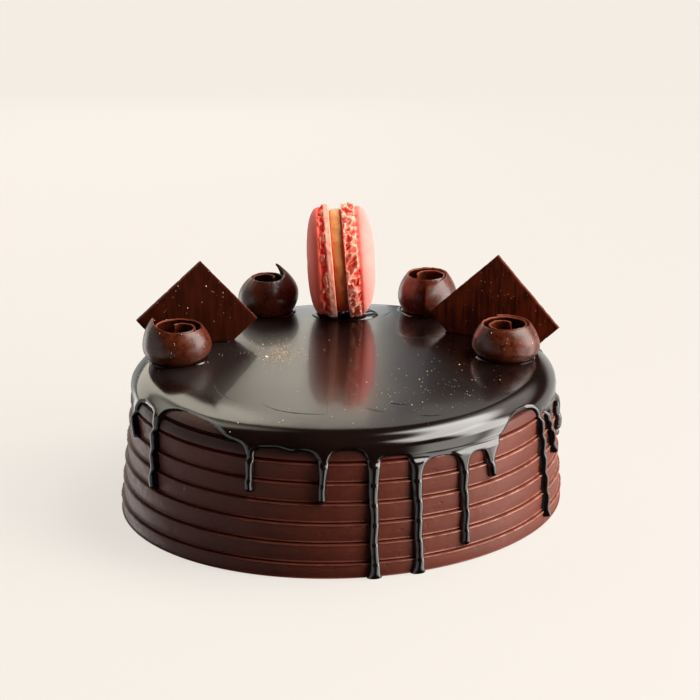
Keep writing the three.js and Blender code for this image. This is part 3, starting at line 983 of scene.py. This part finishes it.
slab = {
    "thickness": 1.8,
    "bevel": 0.22,
    "cuts": 30,  # how finely it is divided
    "nicks": 0.22,  # how deep the edges are broken, mm
    "warp": 0.06,
}
# x and y are where the plaque's middle enters the glaze, depth is how far its corner goes in
# shade scales a plaque's face colour as painted light, darker below 1 and lighter above it
plaques = {
    "plaque_left": {
        "side": 35.6, "x": -60.5, "y": 23.6, "depth": 14.3, "yaw": 15, "lean": -3.4, "spin": -3.4,
        "shade": 0.85, "streaks": 0.5,
    },
    "plaque_right": {
        "side": 38.6, "x": 61.3, "y": 31.6, "depth": 19.3, "yaw": -17.5, "lean": 2.5, "spin": -1.9,
        "shade": 1.9, "streaks": 1.0,
    },
}


def makePlaqueMaterials(node):
    # each plaque gets its own face material, a lit or shaded copy through its painted light
    face, tree, principled = startMaterial(node + "_face", Roughness=0.5, Specular_IOR_Level=0.12)
    points = objectPoints(tree)
    streaks = grain(tree, objectPoints(tree, (1, 1, 0.09)), 620, 3, 0.6)
    cloud = grain(tree, points, 120, 3)
    streaked = layUp(tree, (streaks, 0.7), (cloud, 0.3))
    look = plaques[node]
    # the face colours scaled by shade, as painted light
    first = [part * look["shade"] * (1 - 0.4 * look["streaks"]) for part in (0.036, 0.0042, 0.0009)]
    second = [part * look["shade"] * (1 + 0.7 * look["streaks"]) for part in (0.042, 0.0056, 0.0013)]
    paint(tree, principled, spread(tree, streaked, 0.41, 0.62), first + [1], second + [1])
    addBump(tree, principled, [(streaks, 0.06, 0.4)])
    edge = makeEdgeMaterial(node + "_edge", 0.6, 0.1, (0.05, 0.009, 0.004, 1), (0.15, 0.034, 0.017, 1))
    return [face, edge]


def plaquePlace(plaque):
    half = plaque["side"] / math.sqrt(2)
    spin = math.radians(plaque["spin"])
    stand = Matrix.Translation(Vector((plaque["x"], plaque["y"], cake["top"])) * mm)
    turn = Matrix.Rotation(math.radians(plaque["yaw"]), 4, "Z")
    lean = Matrix.Rotation(-math.radians(plaque["lean"]), 4, "X")
    corner = Vector((-half * math.sin(spin), 0, half * math.cos(spin) - plaque["depth"])) * mm
    tilt = Matrix.Rotation(-math.radians(45) - spin, 4, "Y")
    return stand @ turn @ lean @ Matrix.Translation(corner) @ tilt


def makePlaque(node, seed, materials):
    plaque = plaques[node]
    deselectAll()
    bpy.ops.mesh.primitive_cube_add(size=1, location=(0, 0, 0))
    piece = takeName(node + "_cut")
    piece.scale = (plaque["side"] * mm, slab["thickness"] * mm, plaque["side"] * mm)
    bpy.ops.object.transform_apply(location=True, rotation=True, scale=True)
    applyModifier(piece, "BEVEL", width=slab["bevel"] * mm, segments=2, limit_method="ANGLE")
    for face in piece.data.polygons:
        face.material_index = int(abs(face.normal.y) < 0.999)
    startEdit()
    bpy.ops.mesh.subdivide(number_cuts=slab["cuts"])
    endEdit()
    points = readPoints(piece) / mm
    half = plaque["side"] / 2
    ragged = wobble(points * (1, 0.35, 1), 1.7, seed)
    ragged = ragged + 0.6 * wobble(points * (1, 0.5, 1), 0.7, seed + 1)
    for axis in (0, 2):
        nearEdge = smoothStep(half - 1.2, half, np.abs(points[:, axis]))
        nick = slab["nicks"] * np.maximum(ragged, -0.2)
        points[:, axis] -= np.sign(points[:, axis]) * nearEdge * nick
    points[:, 1] += slab["warp"] * wobble(points * (1, 0, 1), 9, seed + 2)
    writePoints(piece, points * mm)
    moveMesh(piece, plaquePlace(plaque))
    smoothByAngle(piece, 40)
    finishPiece(piece, materials, [node])


# the chocolate curls

ribbon = {
    "thickness": 0.8,
    "base": 57.6,
    "stations": 230,
    "levels": 22,
    "ragged": 0.2,  # how uneven its upper edge is, mm
    "lumps": 0.12,
    "sunk": 0.2,
    "bevel": 0.2,
}
# radius is over the belly and inner in the middle, end the azimuth of the outer end, tip, stand and
# lift say how far that end rises, stands off and leaves the glaze, and flap how soon it starts to
curls = {
    "curl_front_left": {
        "x": -65.8, "y": 5.6, "radius": 13.9, "inner": 4.3, "height": 13.6, "turns": 1.85,
        "end": 172, "winding": -1, "tip": 2.8, "stand": 0.5, "belly": 0.4, "waist": 0.27,
        "footShare": 1.02, "innerShare": 0.97, "point": 1.2, "flap": 4, "lift": 0,
    },
    "curl_front_right": {
        "x": 65.8, "y": 9, "radius": 14.2, "inner": 3.4, "height": 13.6, "turns": 2.2,
        "end": 108, "winding": 1, "tip": 0.3, "stand": 0.1, "belly": 0.36, "waist": 0.29,
        "footShare": 1.0, "innerShare": 0.98, "point": 2, "flap": 5, "lift": 0,
    },
    "curl_back_left": {
        "x": -31, "y": 67, "radius": 12.8, "inner": 3.4, "height": 14.2, "turns": 2.2,
        "end": 62, "winding": 1, "tip": 4, "stand": 0.4, "belly": 0.47, "waist": 0.44,
        "footShare": 0.75, "innerShare": 1.0, "point": 0.9, "flap": 3.4, "lift": 0,
    },
    "curl_back_right": {
        "x": 35.2, "y": 68, "radius": 12.9, "inner": 4.6, "height": 15.6, "turns": 1.75,
        "end": -93, "winding": -1, "tip": -2.6, "stand": 2.8, "belly": 0.42, "waist": 0.32,
        "footShare": 0.8, "innerShare": 0.96, "point": 1.3, "flap": 4, "lift": 3.4,
    },
}


def makeCurlMaterials():
    face, tree, principled = startMaterial("curl_chocolate", Specular_IOR_Level=0.5)
    points = objectPoints(tree)
    cloud = grain(tree, points, 300, 5, 0.7)
    fine = grain(tree, points, 1100, 2)
    share = spread(tree, cloud, 0.36, 0.64)
    paint(tree, principled, share, (0.045, 0.0075, 0.0026, 1), (0.115, 0.022, 0.007, 1))
    tree.links.new(spread(tree, cloud, 0.3, 0.7, 0.24, 0.34), principled.inputs["Roughness"])
    addBump(tree, principled, [(cloud, 0.2, 0.4), (fine, 0.07, 0.5)])
    edge = makeEdgeMaterial("curl_edge", 0.55, 0.25, (0.11, 0.019, 0.0065, 1), (0.25, 0.054, 0.019, 1))
    return [face, edge]


def makeCurl(node, seed, materials):
    curl = curls[node]
    piece, along, across = makeStrip(node + "_rolled", ribbon["stations"], ribbon["levels"])
    up = (across + 1) / 2
    angle = np.radians(curl["end"] - curl["winding"] * 360 * curl["turns"] * (1 - along))
    nearEnd = np.maximum(0, 1 - (1 - along) * curl["turns"] * curl["flap"])
    opened = 1 - (1 - along) ** 2.5
    roll = mix(curl["inner"], curl["radius"], opened) + curl["stand"] * nearEnd ** 2
    tall = curl["height"] * mix(curl["innerShare"], 1, along) + curl["tip"] * nearEnd ** curl["point"]
    fromBelly = np.where(up > curl["belly"], (up - curl["belly"]) / (1 - curl["belly"]),
                         (curl["belly"] - up) / curl["belly"] * curl["footShare"])
    waist = curl["waist"] * mix(0.5, 1, smoothStep(0.2, 0.6, along))
    radius = roll * (1 - waist * fromBelly ** 2) - ribbon["thickness"] / 2
    strip = np.column_stack((along * 150, up * 15, 0 * up))
    foot = glazeHeight(*roundPlace(curl, radius, angle)) - ribbon["sunk"]
    height = up * tall + curl["lift"] * nearEnd ** 2 * (1 - up) ** 2
    ragged = ribbon["ragged"] * (wobble(strip, 4.1, seed) + 0.7 * wobble(strip, 1.6, seed + 1))
    height = height + (1 - up) * (foot - ribbon["base"]) + smoothStep(0.8, 1, up) * ragged
    radius = radius + ribbon["lumps"] * wobble(strip, 9, seed + 2)
    x, y = roundPlace(curl, radius, angle)
    writePoints(piece, np.column_stack((x, y, ribbon["base"] + height)) * mm)
    # the rim takes the second material, so both are there before it is made
    for material in materials:
        piece.data.materials.append(material)
    applyModifier(piece, "SOLIDIFY", thickness=ribbon["thickness"] * mm, offset=0,
                  use_even_offset=True, material_offset_rim=1)
    faceOutwards()
    applyModifier(piece, "BEVEL", width=ribbon["bevel"] * mm, segments=2, limit_method="ANGLE")
    smoothByAngle(piece, 50)
    finishPiece(piece, materials, [node])


# gold dust

dust = {
    "seed": 7,
    "sizes": (0.07, 0.23),  # half width of a flake, mm
    "from": 130,  # how far off the flakes start, mm
    "lowest": 50,  # none lies lower than this, mm
    "lean": 0.45,
    "stretch": ((0.8, 1.7), (0.6, 1.1)),
    # over the top: middle x and y, spread along and across, turn, number of flakes
    "patches": [
        (-25, 7, 4, 7, 0, 480), (-24, 12, 8, 11, 10, 240), (-33, 10, 10, 10, 0, 60),
        (31, -38, 18, 11, 12, 75), (14, -48, 14, 10, 5, 40), (44, -14, 12, 14, 0, 40),
        (-32, -67, 5, 3, 0, 7), (4, 22, 20, 7, 0, 14), (0, -20, 40, 28, 0, 30),
        (-66, 4, 8, 6, 0, 30), (66, 4, 8, 6, 0, 34),
    ],
    # on the faces that look to the front: left and right, low and high, number of flakes
    "fronts": [
        (-82, -40, 62, 94, 66), (42, 86, 62, 97, 80), (-75, -53, 60, 72, 26), (56, 79, 60, 72, 30),
        (-26, 26, 60, 104, 8),
    ],
}


def makeDustMaterial():
    material, tree, principled = startMaterial("gold_dust", Roughness=0.4, Metallic=0.45)
    cloud = grain(tree, objectPoints(tree), 300, 2)
    paint(tree, principled, cloud, (0.95, 0.55, 0.28, 1), (1.0, 0.78, 0.55, 1))
    return material


def dustRays(chance):
    # where flakes fall from above, or are blown on from the front
    for x, y, along, across, turn, count in dust["patches"]:
        for _ in range(count):
            flat = turnedPlace({"x": x, "y": y, "yaw": turn}, chance.gauss(0, along),
                               chance.gauss(0, across))
            yield Vector((*flat, dust["from"])), Vector((0, 0, -1))
    for left, right, low, high, count in dust["fronts"]:
        for _ in range(count):
            spot = Vector((chance.uniform(left, right), -dust["from"], chance.uniform(low, high)))
            yield spot, Vector((0, 1, 0))


def makeDust(pieces):
    chance = random.Random(dust["seed"])
    under = surfaceOf(pieces)
    deselectAll()
    bpy.ops.mesh.primitive_cylinder_add(vertices=5, radius=1, depth=0.3, location=(0, 0, 0))
    piece = takeName("gold_dust")
    flake = readPoints(piece)
    pattern = [list(face.vertices) for face in piece.data.polygons]
    points, polygons = [], []
    for origin, way in dustRays(chance):
        spot, normal, _, _ = under.ray_cast(origin * mm, way)
        if spot is None or spot.z < dust["lowest"] * mm:
            continue
        size = mix(dust["sizes"][0], dust["sizes"][1], chance.random() ** 2.2) * mm
        lean = Vector([chance.gauss(0, dust["lean"]) for _ in range(3)])
        turn = (normal + lean).to_track_quat("Z", "Y").to_matrix() @ Matrix.Rotation(
            chance.uniform(0, 6.3), 3, "Z")
        stretch = Vector([chance.uniform(*sides) for sides in dust["stretch"]] + [1])
        place = spot + normal * size * 0.15
        start = len(points)
        points += [place + turn @ (Vector(corner) * stretch * size) for corner in flake]
        polygons += [[start + corner for corner in face] for face in pattern]
    mesh = bpy.data.meshes.new("gold_dust")
    mesh.from_pydata(points, [], polygons)
    piece.data = mesh
    finishPiece(piece, [makeDustMaterial()])


# floor, light and camera

studio = {
    "floor": (0.62, 0.585, 0.55, 1),
    "bounceLeft": (0.4, 0.4, 0.39, 1),  # what the cake gets back from the floor
    "bounceFront": (0.025, 0.024, 0.023, 1),
    "bounceRight": (0.42, 0.4, 0.38, 1),
    "floorShade": 0.22,  # how much of the shadow shows on it
    "background": (0.93, 0.871, 0.807, 1),
    "ambient": (0.008, 0.0078, 0.0076),
    # far soft light: azimuths from the back to the right, softness, elevations, softness, light
    "panels": [
        (24, 130, 10, 44, 66, 5, (7.4, 7.2, 6.8)),
        (70, 110, 7, 4, 46, 6, (7.4, 7.1, 6.7)),
        (16, 62, 8, 27, 44, 5, (1.0, 0.94, 0.86)),
        (-128, -62, 9, 6, 30, 6, (0.5, 0.52, 0.54)),
        (-75, -12, 8, 31, 45, 5, (1.45, 1.36, 1.15)),
        (-125, -24, 12, -34, 6, 8, (0.65, 0.64, 0.62)),
        (-165, -118, 8, -34, 6, 8, (0.42, 0.43, 0.44)),
        (-58, -34, 6, -34, 4, 6, (2.0, 1.94, 1.85)),
        (-34, -4, 8, -20, 11, 6, (0.42, 0.41, 0.38)),
        (4, 66, 8, -36, 10, 6, (0.75, 0.72, 0.68)),
        (73, 94, 6, -36, 6, 6, (5.2, 5.0, 4.7)),
        (100, 136, 8, -36, 8, 6, (2.6, 2.5, 2.4)),
    ],
    # near light cards behind the cake: x and z from and to, y, light
    "cards": [
        ((-0.95, 0.02), (0.2, 0.437), 0.62, (1.45, 1.36, 1.13)),
        ((0.02, 0.055), (0.2, 0.4), 0.62, (0.2, 0.2, 0.21)),
        ((-0.2, 0.03), (0.05, 0.2), 0.62, (0.95, 0.98, 1.03)),
        ((0.02, 0.15), (0.35, 0.5), 0.62, (0.4, 0.39, 0.36)),
    ],
    # soft light from the front, not seen in reflections: place, size, energy, colour
    "fill": ((0.52, -0.27, 0.24), 0.34, 2.6, (1.0, 0.95, 0.88)),
    "fillAim": (0, 0, 0.06),
}

camera = {"place": (0.003317, -1.49217, 0.57523), "tilt": 71.05, "lens": 202.48}


def makeFloor():
    # seen by the camera it is pale and hardly shaded, and it throws little light back
    deselectAll()
    bpy.ops.mesh.primitive_plane_add(size=8, location=(0, 0, 0))
    floor = takeName("floor")
    material, tree, principled = startMaterial("pale_floor", Roughness=0.9)
    across = axisOf(tree, objectPoints(tree), 0)
    toFront = spread(tree, across, -0.2, -0.1, smooth=True)
    bounce = blendColours(tree, toFront, studio["bounceLeft"], studio["bounceFront"])
    toRight = spread(tree, across, 0.02, 0.14, smooth=True)
    paint(tree, principled, toRight, bounce, studio["bounceRight"])
    shaded = addNode(tree, "ShaderNodeBsdfDiffuse", {"Color": studio["floor"]})
    even = addNode(tree, "ShaderNodeEmission", {"Color": studio["background"], "Strength": 1.0})
    seen = addNode(tree, "ShaderNodeMixShader", {
        0: studio["floorShade"], 1: even.outputs[0], 2: shaded.outputs[0]})
    path = addNode(tree, "ShaderNodeLightPath")
    both = addNode(tree, "ShaderNodeMixShader", {
        0: path.outputs["Is Camera Ray"], 1: principled.outputs[0], 2: seen.outputs[0]})
    tree.links.new(both.outputs[0], tree.nodes["Material Output"].inputs["Surface"])
    floor.data.materials.append(material)
    floor.visible_glossy = False


def makeCard(across, rise, depth, light):
    width, tall = across[1] - across[0], rise[1] - rise[0]
    bpy.ops.object.light_add(type="AREA", rotation=(math.radians(-90), 0, 0),
                             location=(sum(across) / 2, depth, sum(rise) / 2))
    card = bpy.context.object
    card.name = "light_card"
    card.data.shape = "RECTANGLE"
    card.data.size = width
    card.data.size_y = tall
    card.data.energy = 4 * width * tall * max(light)
    card.data.color = [part / max(light) for part in light]
    card.visible_camera = False


def makeFill(place, size, energy, colour):
    bpy.ops.object.light_add(type="AREA", location=place)
    fill = bpy.context.object
    fill.name = "fill_light"
    away = Vector(place) - Vector(studio["fillAim"])
    fill.rotation_euler = away.to_track_quat("Z", "Y").to_euler()
    fill.data.size = size
    fill.data.energy = energy
    fill.data.color = colour
    fill.visible_camera = False
    fill.visible_glossy = False


def makeLight():
    world = bpy.data.worlds.new("studio")
    bpy.context.scene.world = world
    world.use_nodes = True
    tree = world.node_tree
    where = addNode(tree, "ShaderNodeTexCoord").outputs["Generated"]
    way = addNode(tree, "ShaderNodeSeparateXYZ", {0: where}).outputs
    azimuth = maths(tree, "DEGREES", maths(tree, "ARCTAN2", way[0], way[1]))
    elevation = maths(tree, "DEGREES", maths(tree, "ARCSINE", way[2]))
    total = addNode(tree, "ShaderNodeVectorMath", {0: studio["ambient"]}).outputs[0]
    for left, right, softSide, low, high, softTop, light in studio["panels"]:
        share = None
        for value, start, stop, soft in ((azimuth, left, right, softSide),
                                         (elevation, low, high, softTop)):
            for edge, sign in ((start, 1), (stop, -1)):
                part = spread(tree, value, edge - sign * soft, edge + sign * soft, smooth=True)
                share = part if share is None else maths(tree, "MULTIPLY", share, part)
        part = addNode(tree, "ShaderNodeVectorMath", {0: light, 3: share}, operation="SCALE").outputs[0]
        total = addNode(tree, "ShaderNodeVectorMath", {0: total, 1: part}, operation="ADD").outputs[0]
    lit = tree.nodes["Background"]
    tree.links.new(total, lit.inputs["Color"])
    seen = addNode(tree, "ShaderNodeBackground", {"Color": studio["background"]})
    path = addNode(tree, "ShaderNodeLightPath")
    both = addNode(tree, "ShaderNodeMixShader", {0: path.outputs["Is Camera Ray"]})
    tree.links.new(lit.outputs[0], both.inputs[1])
    tree.links.new(seen.outputs[0], both.inputs[2])
    tree.links.new(both.outputs[0], tree.nodes["World Output"].inputs["Surface"])
    for card in studio["cards"]:
        makeCard(*card)
    makeFill(*studio["fill"])
    bpy.context.scene.view_settings.view_transform = "Standard"
    print("studio lit")


def makeCamera():
    bpy.ops.object.camera_add(location=camera["place"], rotation=(math.radians(camera["tilt"]), 0, 0))
    eye = bpy.context.object
    eye.data.sensor_width = 36
    eye.data.lens = camera["lens"]
    bpy.context.scene.camera = eye


makeBody()
glazeMaterial = makeGlazeMaterial()
glaze = makeGlaze()
finishPiece(glaze, [glazeMaterial], ["glaze"])
onGlaze = surfaceOf([glaze])
for mark in marks:
    finishPiece(makeMark(onGlaze, *mark), [glazeMaterial])
wetGlaze = makeWetGlaze()
finishPiece(makeCollar(), [wetGlaze])
makeMacaron()
for place, node in enumerate(plaques):
    makePlaque(node, 41 + 5 * place, makePlaqueMaterials(node))
    finishPiece(plaqueRim(node, 61 + place), [wetGlaze])
curlMaterials = makeCurlMaterials()
for place, node in enumerate(curls):
    makeCurl(node, 71 + 5 * place, curlMaterials)
    finishPiece(curlRim(node, 91 + place), [wetGlaze])
dusted = ("glaze_poured", "plaque_left_", "plaque_right_", "curl_front", "macaron_left_",
          "macaron_right_")
makeDust([piece for piece in bpy.data.objects if piece.name.startswith(dusted)])
makeFloor()
makeLight()
makeCamera()
